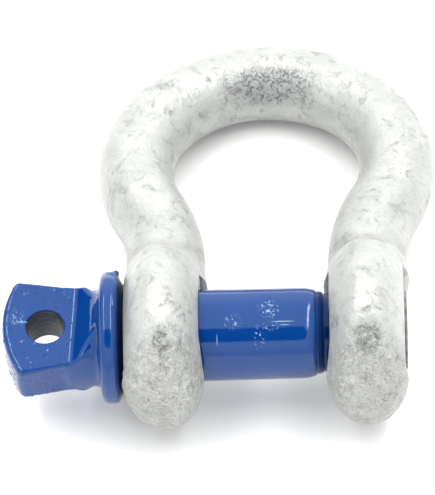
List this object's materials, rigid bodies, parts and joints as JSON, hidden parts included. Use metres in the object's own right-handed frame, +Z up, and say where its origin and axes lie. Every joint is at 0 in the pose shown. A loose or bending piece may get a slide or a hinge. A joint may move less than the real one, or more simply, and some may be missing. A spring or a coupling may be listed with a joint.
{
  "type": "bow shackle",
  "caption": "Screw-pin bow shackle: a galvanised forged bow with two bored ears, closed by a blue painted pin with a flat eye and a collar.",
  "frame": {"origin": "on the surface that the shackle lies on, under the middle of its bounding box", "axes": "+X along the pin from its eye to its thread, +Y from the pin to the crown of the bow, +Z up"},
  "size_m": [0.1072, 0.1216, 0.0452],
  "materials": {
    "galvanised_steel": "hot-dip galvanised forging: pale grey, mottled, semi-matt, with fine dross and pits",
    "blue_enamel": "thick glossy blue enamel over forged steel, with small chips and bare hole walls",
    "bare_thread": "cut screw thread, bare and lightly oiled"
  },
  "bodies": {
    "forging": {"shackle_body": "galvanised_steel"},
    "pin_travelling": {"pin_shank": "blue_enamel"},
    "pin_turning": {"pin_head": "blue_enamel", "pin_thread": "bare_thread"}
  },
  "joints": [
    {"name": "pin_travel", "type": "slide", "parent": "forging", "child": "pin_travelling", "axis": [-1, 0, 0], "range_m": [0, 0.06914]},
    {"name": "pin_turn", "type": "hinge", "parent": "pin_travelling", "child": "pin_turning", "pos_m": [0.01064, -0.03819, 0.0226], "axis": [-1, 0, 0], "range_deg": [0, 8820]}
  ],
  "couplings": [
    {"joint": "pin_turn", "follows": "pin_travel", "rad_per_m": 2226.3}
  ]
}
